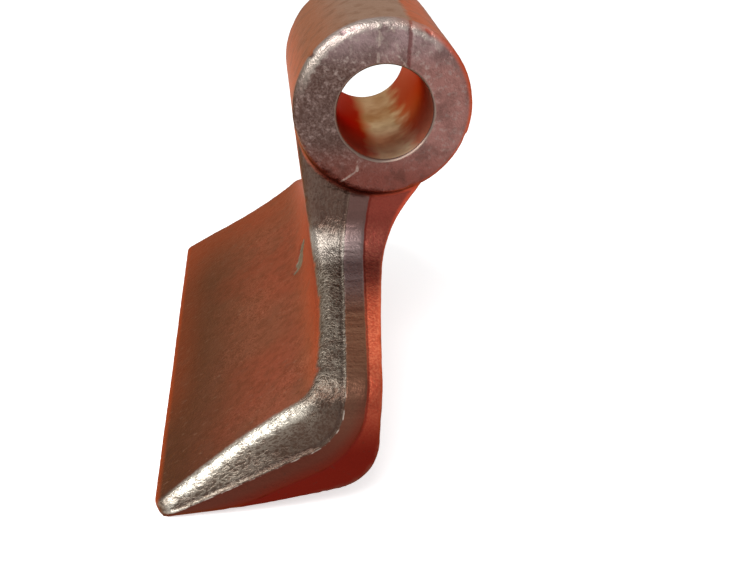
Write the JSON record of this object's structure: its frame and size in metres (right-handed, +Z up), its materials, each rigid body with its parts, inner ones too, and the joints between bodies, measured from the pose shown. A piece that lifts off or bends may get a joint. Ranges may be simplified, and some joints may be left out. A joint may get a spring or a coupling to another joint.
{
  "type": "mulcher hammer blade",
  "caption": "One-piece forged hammer blade for a flail mulcher: a bored round eye, a narrow neck, wide shoulders and a toe bent forward to a blunt cutting edge.",
  "frame": {"origin": "centre of the pin bore, midway between the two end faces of the eye", "axes": "+Y along the pin bore, +Z up from the blade to the eye, and the toe points to -X"},
  "size_m": [0.0806, 0.1556, 0.1131],
  "materials": {
    "forged_steel": "hot-forged, trimmed and shot-blasted steel, bare, with a thin brown film of rust"
  },
  "bodies": {
    "root": {"hammer_blade": "forged_steel"}
  },
  "joints": []
}
